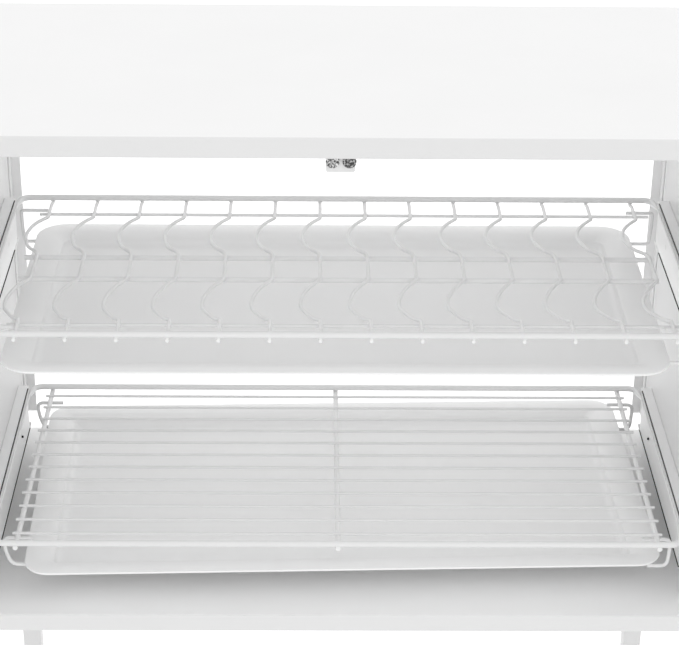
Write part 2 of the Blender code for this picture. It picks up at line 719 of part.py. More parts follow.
def build_all():
    """Build the whole part, group by group."""
    clear_scene()
    materials = {
        "board": make_material("board_white", (0.90, 0.90, 0.90), 0.45),
        "steel_white": make_material("powder_coat_white", (0.86, 0.86, 0.86), 0.4),
        "wire": make_material("wire_coat_white", (0.85, 0.85, 0.85), 0.35),
        "slide": make_material("slide_steel", (0.72, 0.73, 0.74), 0.3, 0.8),
        "bright": make_material("bright_steel", (0.60, 0.60, 0.60), 0.25, 1.0),
        "tray": make_material("frosted_tray", (0.82, 0.82, 0.82), 0.5, 0.0, 0.6),
        "glass": make_material("door_glass", (0.85, 0.88, 0.88), 0.05, 0.0, 0.3),
        "gasket": make_material("door_gasket", (0.12, 0.12, 0.12), 0.7),
        "foot": make_material("foot_plastic", (0.10, 0.10, 0.10), 0.6),
        "bush": make_material("pivot_bush_plastic", (0.80, 0.80, 0.80), 0.4),
    }
    stand = make_anchor("stand", (0, stand_shift, 0))
    cabinet = make_anchor("cabinet", parent=stand)
    anchors = {}
    for level in ("lower", "upper"):
        anchors[f"rack_{level}"] = make_anchor(f"rack_{level}", parent=stand)
        anchors[f"tray_{level}"] = make_anchor(f"tray_{level}", parent=anchors[f"rack_{level}"])
        for side in ("left", "right"):
            anchors[f"middle_{level}_{side}"] = make_anchor(f"middle_{level}_{side}", parent=stand)

    build_boards(cabinet, materials)
    build_posts(cabinet, materials)
    build_sides(cabinet, materials)
    build_catch(cabinet, materials)
    build_pivot_sockets(cabinet, materials)

    for level, rear, above, behind, below in (
            ("lower", lower_rack_rear, lower_slide_height, lower_tray_behind, lower_tray_below),
            ("upper", upper_rack_rear, upper_slide_height, upper_tray_behind, upper_tray_below)):
        slide_z = board_low_top + above
        loop_z = slide_z + loop_above_slide
        build_slides(cabinet, level, rear, slide_z, anchors, materials)
        rack, tray = anchors[f"rack_{level}"], anchors[f"tray_{level}"]
        build_rack = build_lower_rack if level == "lower" else build_upper_rack
        build_rack(rack, rear, loop_z, below, materials)
        build_tray(f"{level}_tray", rear + behind, loop_z - below, materials, tray)

    for side, sign in (("left", -1), ("right", 1)):
        hinge = make_anchor(f"hinge_{side}", (sign * pivot_x, door_y, 0), stand)
        hinge.rotation_euler = (0, 0, sign * door_open_at_rest)
        build_door(side, sign, hinge, materials)


build_all()
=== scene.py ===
"""Looks of the over-the-sink dish rack: coated wire, frosted trays, powder-coated steel and glass.

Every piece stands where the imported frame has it, in metres, +Z up, front towards -Y.
"""
from __future__ import annotations

import logging
import math
from contextlib import contextmanager
from dataclasses import dataclass, replace
from enum import Enum
from typing import Callable, Iterator, Sequence

import bmesh
import bpy
from bpy.types import Material, Node, NodeSocket, NodeTree, Object
from mathutils import Matrix, Vector


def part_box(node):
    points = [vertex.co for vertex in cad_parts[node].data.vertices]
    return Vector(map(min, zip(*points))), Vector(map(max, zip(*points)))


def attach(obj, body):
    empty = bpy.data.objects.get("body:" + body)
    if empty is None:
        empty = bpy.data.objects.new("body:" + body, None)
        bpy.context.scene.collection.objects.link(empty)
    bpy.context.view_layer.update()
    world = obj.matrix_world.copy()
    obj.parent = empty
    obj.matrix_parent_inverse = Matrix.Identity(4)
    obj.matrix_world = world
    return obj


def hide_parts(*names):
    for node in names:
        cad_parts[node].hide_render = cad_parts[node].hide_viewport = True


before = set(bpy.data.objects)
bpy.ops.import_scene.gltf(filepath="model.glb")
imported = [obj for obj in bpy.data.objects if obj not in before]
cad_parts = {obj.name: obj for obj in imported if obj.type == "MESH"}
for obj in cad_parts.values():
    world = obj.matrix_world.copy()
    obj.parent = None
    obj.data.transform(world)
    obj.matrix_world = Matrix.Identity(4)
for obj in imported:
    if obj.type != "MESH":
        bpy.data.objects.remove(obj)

Point = Sequence[float]
LOG = logging.getLogger("dish_rack")
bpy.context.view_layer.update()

# The boards' front edge is darkened as painted shade, along Y: where the shade is full, and where
# it has faded out.
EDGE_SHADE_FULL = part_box("top_panel")[0].y + 0.0004
EDGE_SHADE_END = EDGE_SHADE_FULL + 0.0006

# Angles in degrees over which edges stay crisp.
CREASE, TUBE_CREASE, SHEET_CREASE, WIRE_CREASE, BEAD_CREASE = 35, 40, 50, 60, 80
# The least cosine between two directions that count as the same.
STRAIGHT = 0.99

# Shares of a wire's thickness: the bevel of its ends, and the distance at which points merge.
WIRE_END_BEVEL, WIRE_MERGE = 0.22, 0.005
BEAD_SEGMENTS, BEAD_RINGS = 10, 6

# Textures: the part of a noise's range that counts, and what tone and roughness it gives.
NOISE_RANGE = {"From Min": 0.3, "From Max": 0.7}
# The knurl's pits are darkened to a tenth of the colour as painted shade.
TONE_DARKEST, KNURL_PIT_SHADE = 0.975, 0.1
SHINE_LEAST, SHINE_MOST = -0.04, 0.05
ROLLING_STRETCH = 0.03
PEEL_FINENESS, GRAIN_WEIGHT = 0.3, 0.5
CLEAR_COAT_ROUGHNESS = 0.12


class Texture(Enum):
    """The small-scale surface that a finish shows."""

    COAT = "coat_texture"
    ROLLED = "rolled_steel"
    MOULDED = "moulded_plastic"
    KNURLED = "knurled_metal"
    # Boards, with their front edge darkened as painted shade.
    BANDED = "banded_board"


class Side(Enum):
    """The two ends of the cabinet, with their direction along X."""

    LEFT = ("left", -1)
    RIGHT = ("right", 1)

    @property
    def word(self) -> str:
        """The side's name as it stands in the names of pieces."""
        return self.value[0]

    @property
    def sign(self) -> int:
        """The side's direction along X."""
        return self.value[1]


# Selection and mesh helpers


def pick(*objects: Object) -> None:
    """Select these objects alone, the first of them active.

    Args:
        objects: What to select.
    """
    bpy.ops.object.select_all(action="DESELECT")
    for obj in objects:
        obj.select_set(True)
    bpy.context.view_layer.objects.active = objects[0]


@contextmanager
def editing(obj: Object, mode: str = "FACE") -> Iterator[None]:
    """Hold an object in edit mode, with nothing selected at first.

    Args:
        obj: The object to edit.
        mode: VERT, EDGE or FACE.
    """
    pick(obj)
    bpy.ops.object.mode_set(mode="EDIT")
    bpy.ops.mesh.select_mode(type=mode)
    bpy.ops.mesh.select_all(action="DESELECT")
    yield
    bpy.ops.object.mode_set(mode="OBJECT")


def choose(obj: Object, kind: str, test: Callable[[Vector, Vector], bool]) -> None:
    """Select the faces or edges that pass a test, in edit mode.

    Args:
        obj: The object in edit mode.
        kind: "faces" or "edges".
        test: Takes an element's middle and its normal, or its direction for an edge.
    """
    mesh = bmesh.from_edit_mesh(obj.data)
    for element in getattr(mesh, kind):
        corners = [vert.co for vert in element.verts]
        middle = sum(corners, Vector()) / len(corners)
        along = element.normal if kind == "faces" else (corners[1] - corners[0]).normalized()
        element.select_set(test(middle, along))
    mesh.select_flush_mode()
    bmesh.update_edit_mesh(obj.data)


def extrude(*offset: float) -> None:
    """Extrude the selected faces, in edit mode.

    Args:
        offset: How far along X, Y and Z.
    """
    bpy.ops.mesh.extrude_region_move(TRANSFORM_OT_translate={"value": offset})


def settle(obj: Object, name: str) -> Object:
    """Name a piece and put its place into its mesh.

    Args:
        obj: The finished piece.
        name: Its new name.

    Returns:
        The same piece, at the origin.
    """
    pick(obj)
    bpy.ops.object.transform_apply(location=True, rotation=True, scale=True)
    obj.name = name
    obj.data.name = name
    return obj


def smooth(obj: Object, degrees: float) -> None:
    """Shade a piece smooth, with its sharper edges left crisp.

    Args:
        obj: The piece.
        degrees: The angle over which an edge stays crisp.
    """
    pick(obj)
    bpy.ops.object.shade_smooth_by_angle(angle=math.radians(degrees))


def soften(obj: Object, width: float, steps: int = 2, degrees: float = CREASE) -> None:
    """Bevel a piece's sharp edges and shade it smooth.

    Args:
        obj: The piece.
        width: Width of the bevel.
        steps: Its segments.
        degrees: The angle over which an edge counts as sharp.
    """
    modifier = obj.modifiers.new("bevel", "BEVEL")
    modifier.width, modifier.segments = width, steps
    modifier.limit_method, modifier.angle_limit = "ANGLE", math.radians(degrees)
    pick(obj)
    bpy.ops.object.modifier_apply(modifier=modifier.name)
    smooth(obj, degrees)


def add_block(name: str, middle: Point, size: Point) -> Object:
    """A plain block.

    Args:
        name: The name of the piece.
        middle: Its middle.
        size: Its extent along X, Y and Z.

    Returns:
        The piece.
    """
    bpy.ops.mesh.primitive_cube_add(size=1, location=middle, scale=size)
    return settle(bpy.context.object, name)


def add_rod(name: str, middle: Point, turn: Point, radius: float, depth: float,
            sides: int) -> Object:
    """A plain round rod.

    Args:
        name: The name of the piece.
        middle: Its middle.
        turn: Its rotation from upright.
        radius: Its radius.
        depth: Its length.
        sides: Facets around it.

    Returns:
        The piece.
    """
    bpy.ops.mesh.primitive_cylinder_add(vertices=sides, radius=radius, depth=depth,
                                        location=middle, rotation=turn)
    return settle(bpy.context.object, name)


def fillet(points: Sequence[Point], radius: float, steps: int) -> list[Vector]:
    """Round the corners of an open line of points.

    Args:
        points: The line's corners.
        radius: How far from each corner the round starts, at most.
        steps: Stretches on each round.

    Returns:
        The rounded line.
    """
    corners = [Vector(point) for point in points]
    line = [corners[0]]
    for before, corner, after in zip(corners, corners[1:], corners[2:]):
        near = min(radius, (before - corner).length / 2, (after - corner).length / 2)
        start = corner + (before - corner).normalized() * near
        end = corner + (after - corner).normalized() * near
        for i in range(steps + 1):
            share = i / steps
            line.append(start * (1 - share) ** 2 + corner * 2 * share * (1 - share)
                        + end * share ** 2)
    line.append(corners[-1])
    return line


def spline_through(points: Sequence[Point], steps: int = 5) -> list[Vector]:
    """A smooth line through every one of some points.

    Args:
        points: What the line runs through.
        steps: New points for each stretch between two of them.

    Returns:
        The line's points.
    """
    fixed = [Vector(point) for point in points]
    padded = [fixed[0] * 2 - fixed[1], *fixed, fixed[-1] * 2 - fixed[-2]]
    line = []
    for before, start, end, after in zip(padded, padded[1:], padded[2:], padded[3:]):
        for i in range(steps):
            share = i / steps
            line.append((start * 2 + (end - before) * share
                         + (before * 2 - start * 5 + end * 4 - after) * share ** 2
                         + (start * 3 - before - end * 3 + after) * share ** 3) / 2)
    line.append(fixed[-1])
    return line


def draw_wire(name: str, runs: Sequence[Sequence[Point]], thickness: float, sides: int = 12,
              closed: bool = False, shares: Sequence[float] = ()) -> Object:
    """Round wires along lines of points, as one mesh with softened ends.

    Args:
        name: The name of the piece.
        runs: One line of points for each wire.
        thickness: The wire's diameter.
        sides: Facets around the wire.
        closed: Whether each wire is a loop.
        shares: The share of the thickness that the wire has at each point, if it changes.

    Returns:
        The piece.
    """
    bpy.ops.curve.primitive_nurbs_path_add(location=(0, 0, 0))
    wire = bpy.context.object
    curve = wire.data
    curve.splines.clear()
    for points in runs:
        spline = curve.splines.new("POLY")
        spline.points.add(len(points) - 1)
        for slot, point in zip(spline.points, points):
            slot.co = (*point, 1.0)
        for slot, share in zip(spline.points, shares):
            slot.radius = share
        spline.use_cyclic_u = closed
    curve.bevel_depth = thickness / 2
    curve.bevel_resolution = (sides - 4) // 2
    curve.use_fill_caps = not closed
    pick(wire)
    bpy.ops.object.convert(target="MESH")
    wire = bpy.context.object
    with editing(wire):
        bpy.ops.mesh.select_all(action="SELECT")
        bpy.ops.mesh.remove_doubles(threshold=thickness * WIRE_MERGE)
        if not closed:
            bpy.ops.mesh.select_all(action="DESELECT")
            bpy.ops.mesh.select_face_by_sides(number=sides, type="EQUAL", extend=False)
            bpy.ops.mesh.region_to_loop()
            bpy.ops.mesh.bevel(offset=thickness * WIRE_END_BEVEL, segments=2, affect="EDGES")
        bpy.ops.mesh.select_all(action="SELECT")
        bpy.ops.mesh.normals_make_consistent(inside=False)
    smooth(wire, WIRE_CREASE)
    return settle(wire, name)


def weld_beads(name: str, places: Sequence[Point], size: Point) -> Object:
    """Small flattened beads where wires are welded.

    Args:
        name: The name of the piece.
        places: The middle of each bead.
        size: Its extent along X, Y and Z.

    Returns:
        All the beads as one piece.
    """
    beads = []
    for place in places:
        bpy.ops.mesh.primitive_uv_sphere_add(segments=BEAD_SEGMENTS, ring_count=BEAD_RINGS,
                                             radius=0.5, location=place, scale=size)
        beads.append(bpy.context.object)
    pick(*beads)
    bpy.ops.object.join()
    smooth(settle(beads[0], name), BEAD_CREASE)
    return beads[0]


# Finishes


def add_node(tree: NodeTree, kind: str, values: dict[str, object] | None = None,
             **settings: object) -> Node:
    """Add a shader node.

    Args:
        tree: Where it goes.
        kind: Its type, without the word ShaderNode.
        values: Its inputs by name.
        settings: Its other settings.

    Returns:
        The node.
    """
    node = tree.nodes.new("ShaderNode" + kind)
    for key, value in settings.items():
        setattr(node, key, value)
    for key, value in (values or {}).items():
        node.inputs[key].default_value = value
    return node


def texture_group(texture: Texture) -> NodeTree:
    """The node group of a small-scale surface, built once.

    It has the inputs Grain and Cloud, the fineness of its small and its large noise, and Band,
    the share of the tone that a board's front edge keeps under its painted shade. It gives Height
    for a bump, Tone that multiplies the colour and Shine that varies roughness.

    Args:
        texture: Which surface.

    Returns:
        The group.
    """
    found = bpy.data.node_groups.get(texture.value)
    if found:
        return found
    group = bpy.data.node_groups.new(texture.value, "ShaderNodeTree")
    for way, words in (("INPUT", ("Grain", "Cloud", "Band")),
                       ("OUTPUT", ("Height", "Tone", "Shine"))):
        for word in words:
            group.interface.new_socket(word, in_out=way, socket_type="NodeSocketFloat")
    enter = group.nodes.new("NodeGroupInput")
    leave = group.nodes.new("NodeGroupOutput")
    where = add_node(group, "TexCoord").outputs["Object"]
    stretch = ROLLING_STRETCH if texture is Texture.ROLLED else 1
    mapped = add_node(group, "Mapping", {"Scale": (1, stretch, 1)})
    fine = add_node(group, "TexNoise", {"Detail": 2.0, "Roughness": 0.5})
    broad = add_node(group, "TexNoise", {"Detail": 3.0, "Roughness": 0.6})
    link = group.links.new
    link(where, mapped.inputs["Vector"])
    link(mapped.outputs["Vector"], fine.inputs["Vector"])
    link(where, broad.inputs["Vector"])
    link(enter.outputs["Grain"], fine.inputs["Scale"])
    link(enter.outputs["Cloud"], broad.inputs["Scale"])
    height = fine.outputs["Fac"]
    if texture is Texture.COAT:
        peel = add_node(group, "TexNoise", {"Detail": 1.0})
        slow = add_node(group, "Math", {1: PEEL_FINENESS}, operation="MULTIPLY")
        both = add_node(group, "Math", {1: GRAIN_WEIGHT}, operation="MULTIPLY_ADD")
        link(enter.outputs["Grain"], slow.inputs[0])
        link(where, peel.inputs["Vector"])
        link(slow.outputs[0], peel.inputs["Scale"])
        link(fine.outputs["Fac"], both.inputs[0])
        link(peel.outputs["Fac"], both.inputs[2])
        height = both.outputs[0]
    elif texture in (Texture.MOULDED, Texture.KNURLED):
        pits = add_node(group, "TexVoronoi", feature="SMOOTH_F1")
        link(where, pits.inputs["Vector"])
        link(enter.outputs["Grain"], pits.inputs["Scale"])
        height = pits.outputs["Distance"]
    # On knurled metal the tone is painted shade, darkest in the pits.
    knurled = texture is Texture.KNURLED
    darkest = KNURL_PIT_SHADE if knurled else TONE_DARKEST
    tone = add_node(group, "MapRange", {**NOISE_RANGE, "To Min": darkest})
    shine = add_node(group, "MapRange",
                     {**NOISE_RANGE, "To Min": SHINE_LEAST, "To Max": SHINE_MOST})
    link(height if knurled else broad.outputs["Fac"], tone.inputs["Value"])
    link((fine if texture is Texture.ROLLED else broad).outputs["Fac"], shine.inputs["Value"])
    shade = tone.outputs["Result"]
    # Painted shade: the tone falls towards a board's front edge.
    if texture is Texture.BANDED:
        split = add_node(group, "SeparateXYZ")
        band = add_node(group, "MapRange",
                        {"From Min": EDGE_SHADE_END, "From Max": EDGE_SHADE_FULL, "To Min": 1.0})
        product = add_node(group, "Math", operation="MULTIPLY")
        link(where, split.inputs["Vector"])
        link(split.outputs["Y"], band.inputs["Value"])
        link(enter.outputs["Band"], band.inputs["To Max"])
        link(band.outputs["Result"], product.inputs[0])
        link(shade, product.inputs[1])
        shade = product.outputs[0]
    link(height, leave.inputs["Height"])
    link(shade, leave.inputs["Tone"])
    link(shine.outputs["Result"], leave.inputs["Shine"])
    return group


@dataclass(frozen=True)
class Finish:
    """One surface finish, built as a material when it is first used.

    Attributes:
        name: The material's name.
        slot: The record's material slot; not used.
        colour: Base colour.
        roughness: Mean roughness.
        texture: Its small-scale surface.
        grain: Fineness of that surface, per metre.
        cloud: Fineness of its slow changes of tone, per metre.
        depth: Depth of the bump in metres.
        metallic: 1 for bare metal.
        transmission: Share of light that goes through.
        ior: Index of refraction.
        coat: Weight of a clear coat.
        band: Share of the tone that a board's front edge keeps under its painted shade.
    """

    name: str
    slot: str
    colour: tuple[float, float, float]
    roughness: float
    texture: Texture = Texture.COAT
    grain: float = 900.0
    cloud: float = 7.0
    depth: float = 0.00002
    metallic: float = 0.0
    transmission: float = 0.0
    ior: float = 1.5
    coat: float = 0.0
    band: float = 1.0

    def material(self) -> Material:
        """The finish as a material, made once."""
        found = bpy.data.materials.get(self.name)
        if found:
            return found
        material = bpy.data.materials.new(self.name)
        material.use_nodes = True
        tree = material.node_tree
        shader = tree.nodes["Principled BSDF"]
        for key, value in (("Metallic", self.metallic), ("Transmission Weight", self.transmission),
                           ("IOR", self.ior), ("Coat Weight", self.coat),
                           ("Coat Roughness", CLEAR_COAT_ROUGHNESS)):
            shader.inputs[key].default_value = value
        values = {"Grain": self.grain, "Cloud": self.cloud, "Band": self.band}
        surface = add_node(tree, "Group", values, node_tree=texture_group(self.texture))
        tint = add_node(tree, "VectorMath", {0: self.colour}, operation="SCALE")
        rough = add_node(tree, "Math", {1: self.roughness}, operation="ADD", use_clamp=True)
        bump = add_node(tree, "Bump", {"Distance": self.depth, "Strength": 1.0})
        link = tree.links.new
        link(surface.outputs["Tone"], tint.inputs["Scale"])
        link(tint.outputs["Vector"], shader.inputs["Base Color"])
        link(surface.outputs["Shine"], rough.inputs[0])
        link(rough.outputs[0], shader.inputs["Roughness"])
        link(surface.outputs["Height"], bump.inputs["Height"])
        link(bump.outputs["Normal"], shader.inputs["Normal"])
        return material

    def dress(self, obj: Object) -> None:
        """Give a piece this finish alone."""
        obj.data.materials.clear()
        obj.data.materials.append(self.material())


def grey(level: float) -> tuple[float, float, float]:
    """A grey colour.

    Args:
        level: The level of all three channels.

    Returns:
        The colour.
    """
    return (level, level, level)


# Both boards have their front edge darkened as painted shade.
BOARD = Finish("white_board", "board", grey(0.90), 0.42, Texture.BANDED, grain=700,
               depth=0.00001, band=0.855)
# The lower board is lighter than the top as painted light, to lift the shade under the trays.
LIT_LOW_BOARD = replace(BOARD, name="lower_board_painted_light", colour=grey(0.97), roughness=0.45, band=0.81)
POWDER = Finish("white_powder_coat", "powder_coat", grey(0.97), 0.42, grain=1300)
# The doors' frames are the white coat darkened as painted shade.
SHADED_DOOR_COAT = replace(POWDER, name="door_coat_painted_shade", colour=grey(0.85))
# The legs are the white coat darkened as painted shade, for the shade under the cabinet.
SHADED_LEG_COAT = replace(POWDER, name="leg_coat_painted_shade", colour=grey(0.75))
# The side sheets and the catch bracket are the white coat darkened as painted shade, for the shade
# inside the cabinet.
SHADED_SHEET_COAT = replace(POWDER, name="side_coat_painted_shade", colour=grey(0.80))
# The three wire finishes below are one white wire coat in three tones, each set to how bright its
# wires are lit: painted light and shade.
WIRE = Finish("white_wire_coat", "wire_coating", grey(0.80), 0.34, grain=500, depth=0.00003,
              coat=0.2)
PAINTED_TONE_WIRE = replace(WIRE, name="wire_coat_painted_tone", colour=grey(0.86), roughness=0.38, coat=0.0)
SOFT_WIRE = replace(WIRE, name="soft_wire_coat", colour=grey(0.87), roughness=0.45, coat=0.0)
TRAY = Finish("frosted_tray", "tray_plastic", grey(0.95), 0.48, Texture.MOULDED, grain=2200,
              depth=0.000015, ior=1.49)
HEM = Finish("white_hem_coat", "slide_steel", grey(0.97), 0.36, grain=1300, depth=0.000008)
SLIDE = Finish("white_slide", "slide_steel", grey(0.93), 0.36, Texture.ROLLED, grain=1600,
               depth=0.000008)
# The slides' middle members are near black as painted shade, for the shade in the gaps between the
# members.
GAP_SHADE_STEEL = replace(SLIDE, name="slide_gap_painted_shade", colour=grey(0.10), roughness=0.4, metallic=1.0)
BRIGHT = Finish("bright_steel", "bright_steel", grey(0.62), 0.25, Texture.ROLLED, grain=2200,
                depth=0.00001, metallic=1.0)
KNURL = Finish("knurled_steel", "bright_steel", grey(0.72), 0.35, Texture.KNURLED, grain=850,
               depth=0.0002, metallic=1.0)
DARK_KNURL = replace(KNURL, name="dark_knurled_steel", colour=grey(0.44), grain=700)
GLASS = Finish("door_glass", "door_glass", (0.95, 0.98, 0.97), 0.03, grain=40, depth=0.000002,
               transmission=1.0)
RUBBER = Finish("black_rubber", "door_gasket", grey(0.035), 0.62, Texture.MOULDED, grain=1800,
                depth=0.00003)
BLACK = Finish("black_plastic", "foot_plastic", grey(0.04), 0.45, Texture.MOULDED, grain=2400,
               depth=0.00003)
# Matte black and dark grey with no shine, for strips and a disc that stand for shade in the slides'
# gaps and in a hole: painted shade.
SHADE_BLACK = replace(BLACK, name="painted_shade_black", colour=grey(0.02), roughness=0.9, ior=1.02)
SHADE_GREY = replace(SHADE_BLACK, name="painted_shade_grey", colour=grey(0.09))
NYLON = Finish("white_nylon", "bush_plastic", (0.80, 0.80, 0.79), 0.4, Texture.MOULDED, grain=2400)


def hand_over(piece: Object, body: str, finish: Finish, *nodes: str) -> None:
    """Dress a finished piece, let it ride on its body and log it.

    Args:
        piece: The piece.
        body: The CAD body it moves with.
        finish: Its finish.
        nodes: The CAD nodes it stands for.
    """
    finish.dress(piece)
    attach(piece, body)
    if nodes:
        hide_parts(*nodes)
    LOG.info("%s: %d faces on %s", piece.name, len(piece.data.polygons), body)


def dress_nodes(finish: Finish, *nodes: str) -> None:
    """Give a finish to CAD nodes that are kept as they are.

    Args:
        finish: The finish.
        nodes: Their names.
    """
    for node in nodes:
        finish.dress(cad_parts[node])


# Sub-assemblies


@dataclass
class Rack:
    """What both wire racks share: the outer wire and the hooks that carry the tray.

    Welded wires sink into each other by weld, the others keep the gap seat. The side_share is
    the outer wire's along the slides, and sizes of beads are shares of a wire's thickness.
    """

    level: str
    wire: float = 0.0060
    wire_sides: int = 16
    corner: float = 0.0100
    corner_steps: int = 10
    side_share: float = 0.42
    taper: float = 0.0150
    hook_wire: float = 0.0036
    hook_inset: float = 0.0060
    hook_top_reach: float = 0.0270
    hook_tip_reach: float = 0.0200
    hook_lean: float = 0.0040
    right_lean: float = 0.0010
    lean_half_way: float = 0.25
    lean_at_foot: float = 1.5
    hook_rear_inset: float = 0.0190
    hook_front_inset: float = 0.0230
    hook_bend: float = 0.0065
    hook_steps: int = 6
    tray_rim: float = 0.0022
    tray_drop: float = 0.0
    weld: float = 0.0010
    seat: float = 0.0003

    def __post_init__(self) -> None:
        """Take the outer wire's place from its solid."""
        low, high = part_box(f"{self.level}_rack_frame")
        self.body = f"{self.level}_rack"
        self.half_x = high.x - self.wire / 2
        self.rear, self.front = high.y - self.wire / 2, low.y + self.wire / 2
        self.height = (low.z + high.z) / 2
        self.middle = (self.rear + self.front) / 2
        self.underside = self.height - (self.wire / 2 + self.seat)

    def build_outer_wire(self) -> None:
        """The loop that runs round the rack, its sides pressed thin against the slides."""
        half_y = (self.rear - self.front) / 2
        ring: list[tuple[Point, float]] = []
        for quarter in range(4):
            side_x = 1 if quarter in (0, 3) else -1
            side_y = 1 if quarter in (0, 1) else -1
            centre_x = side_x * (self.half_x - self.corner)
            centre_y = self.middle + side_y * (half_y - self.corner)
            curve = []
            for i in range(self.corner_steps + 1):
                turn = (quarter + i / self.corner_steps) * math.pi / 2
                curve.append(((centre_x + self.corner * math.cos(turn),
                               centre_y + self.corner * math.sin(turn), self.height), 1.0))
            out = self.wire / 2 * (1 - self.side_share)
            thin = ((side_x * (self.half_x + out), centre_y - side_y * self.taper,
                     self.height + out), self.side_share)
            ring += [thin, *curve] if quarter in (0, 2) else [*curve, thin]
        points, shares = zip(*ring)
        wire = draw_wire(f"{self.level}_outer_wire", [points], self.wire, self.wire_sides,
                         closed=True, shares=shares)
        hand_over(wire, self.body, WIRE, f"{self.level}_rack_frame")

    def hook_lines(self, carrier_low: float) -> list[list[Vector]]:
        """Lines of the four hooks, from the rack's carriers to under the tray's rim.

        Args:
            carrier_low: Height of the underside of the wires that they hang on.

        Returns:
            One rounded line for each hook.
        """
        top = carrier_low + self.weld - self.hook_wire / 2
        tray_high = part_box(f"{self.level}_tray")[1]
        low = tray_high.z - self.tray_drop - self.tray_rim - self.seat - self.hook_wire / 2
        outer = self.half_x - self.hook_inset
        lines = []
        for side in Side:
            lean = self.hook_lean if side is Side.LEFT else self.right_lean
            for y in (self.rear - self.hook_rear_inset, self.front + self.hook_front_inset):
                corners = [(side.sign * (outer - inwards), y, z) for inwards, z in (
                    (self.hook_top_reach, top), (0, top),
                    (lean * self.lean_half_way, (top + low) / 2),
                    (lean * self.lean_at_foot, low), (self.hook_tip_reach, low))]
                lines.append(fillet(corners, self.hook_bend, self.hook_steps))
        return lines


@dataclass
class UpperRack(Rack):
    """The rack for plates: bent wires across two thin and two stouter cross wires."""

    hook_inset: float = 0.0020
    hook_tip_reach: float = 0.0245
    hook_lean: float = 0.0012
    hook_bend: float = 0.0035
    hook_rear_inset: float = 0.0205
    tray_drop: float = 0.0045
    rail_reach: float = 0.3005
    thin_left: float = 0.2980
    thin_right: float = 0.3120
    plate_count: int = 14
    plate_wire: float = 0.0035
    plate_end_gap: float = 0.0269
    plate_shift: float = 0.0049
    rear_bend_side: float = 0.0174
    front_bend_side: float = 0.0182
    bend_drop: float = 0.0045
    end_past: float = 0.0026
    ramp: float = 0.0070
    ramp_round: float = 0.0025
    ramp_steps: int = 4
    bead_width: float = 1.35
    bead_height: float = 0.8
    bead_lift: float = 0.15
    thin_wire: float = 0.0033
    thin_inset: float = 0.0270
    rail_wire: float = 0.0050
    rail_spread: float = 0.0235
    rail_forward: float = 0.0035
    rear_bend_first: float = 0.0425
    rear_bend_last: float = 0.1320
    front_bend_first: float = 0.1818
    front_bend_last: float = 0.0331
    rear_bend: tuple[tuple[float, float], ...] = (
        (0, 0), (0.114, 0.54), (0.223, 0.88), (0.417, 1), (0.720, 0.68), (0.900, 0.14), (1, 0))
    front_bend: tuple[tuple[float, float], ...] = (
        (0, 0), (0.172, 0.57), (0.329, 0.89), (0.477, 1), (0.645, 0.92), (0.790, 0.68),
        (0.932, 0.37), (1, 0))

    def plate_line(self, x: float) -> list[Vector]:
        """The line of one plate wire.

        Args:
            x: Where it crosses the outer wire.

        Returns:
            Its points, from the rear to the front.
        """
        top = self.underside - self.weld + self.plate_wire / 2
        under = self.underside - self.plate_wire / 2
        half = self.wire / 2
        bends = []
        for first, last, side, shares in (
                (self.rear - self.rear_bend_first, self.rear - self.rear_bend_last,
                 self.rear_bend_side, self.rear_bend),
                (self.rear - self.front_bend_first, self.front + self.front_bend_last,
                 self.front_bend_side, self.front_bend)):
            bends += spline_through([
                (x - side * out, first - (first - last) * along, top - self.bend_drop * out ** 2)
                for along, out in shares])
        line = [(x, self.rear + half, under), (x, self.rear - half, under),
                (x, self.rear - half - self.ramp, top), *bends,
                (x, self.front + half + self.ramp, top), (x, self.front + half, under),
                (x, self.front - self.end_past, under)]
        return fillet(line, self.ramp_round, self.ramp_steps)

    def build(self) -> None:
        """Build the outer wire, plate wires, cross wires, hooks and weld beads."""
        self.build_outer_wire()
        pitch = 2 * (self.half_x - self.plate_end_gap) / (self.plate_count - 1)
        first = self.plate_shift - pitch * (self.plate_count - 1) / 2
        places = [first + i * pitch for i in range(self.plate_count)]
        plates = draw_wire("plate_wires", [self.plate_line(x) for x in places], self.plate_wire)
        hand_over(plates, self.body, SOFT_WIRE, "plate_grid")

        thin_rows = (self.rear - self.thin_inset - self.rail_forward, self.front + self.thin_inset)
        thin_z = self.underside - self.thin_wire / 2
        thin = [draw_wire(f"thin_cross_wire_{end}",
                          [[(-self.thin_left, y, thin_z), (self.thin_right, y, thin_z)]],
                          self.thin_wire)
                for end, y in zip(("rear", "front"), thin_rows)]
        rail_middle = self.middle - self.rail_forward
        rail_rows = (rail_middle + self.rail_spread, rail_middle - self.rail_spread)
        rail_z = self.underside - self.rail_wire / 2
        rails = draw_wire("middle_cross_wires",
                          [[(-self.rail_reach, y, rail_z), (self.rail_reach, y, rail_z)]
                           for y in rail_rows], self.rail_wire)
        foot = self.underside - self.weld
        hooks = draw_wire("upper_tray_hooks", self.hook_lines(foot), self.hook_wire)
        for piece in (thin[0], rails, hooks):
            hand_over(piece, self.body, PAINTED_TONE_WIRE)
        hand_over(thin[1], self.body, WIRE)
        width = self.plate_wire * self.bead_width
        bead_z = foot + self.plate_wire * self.bead_lift
        welds = [(x, y, bead_z) for x in places for y in thin_rows + rail_rows]
        welds += [(x, y, self.height - self.wire / 2) for x in places
                  for y in (self.rear, self.front)]
        beads = weld_beads("upper_welds", welds, (width, width, self.plate_wire * self.bead_height))
        hand_over(beads, self.body, SOFT_WIRE)


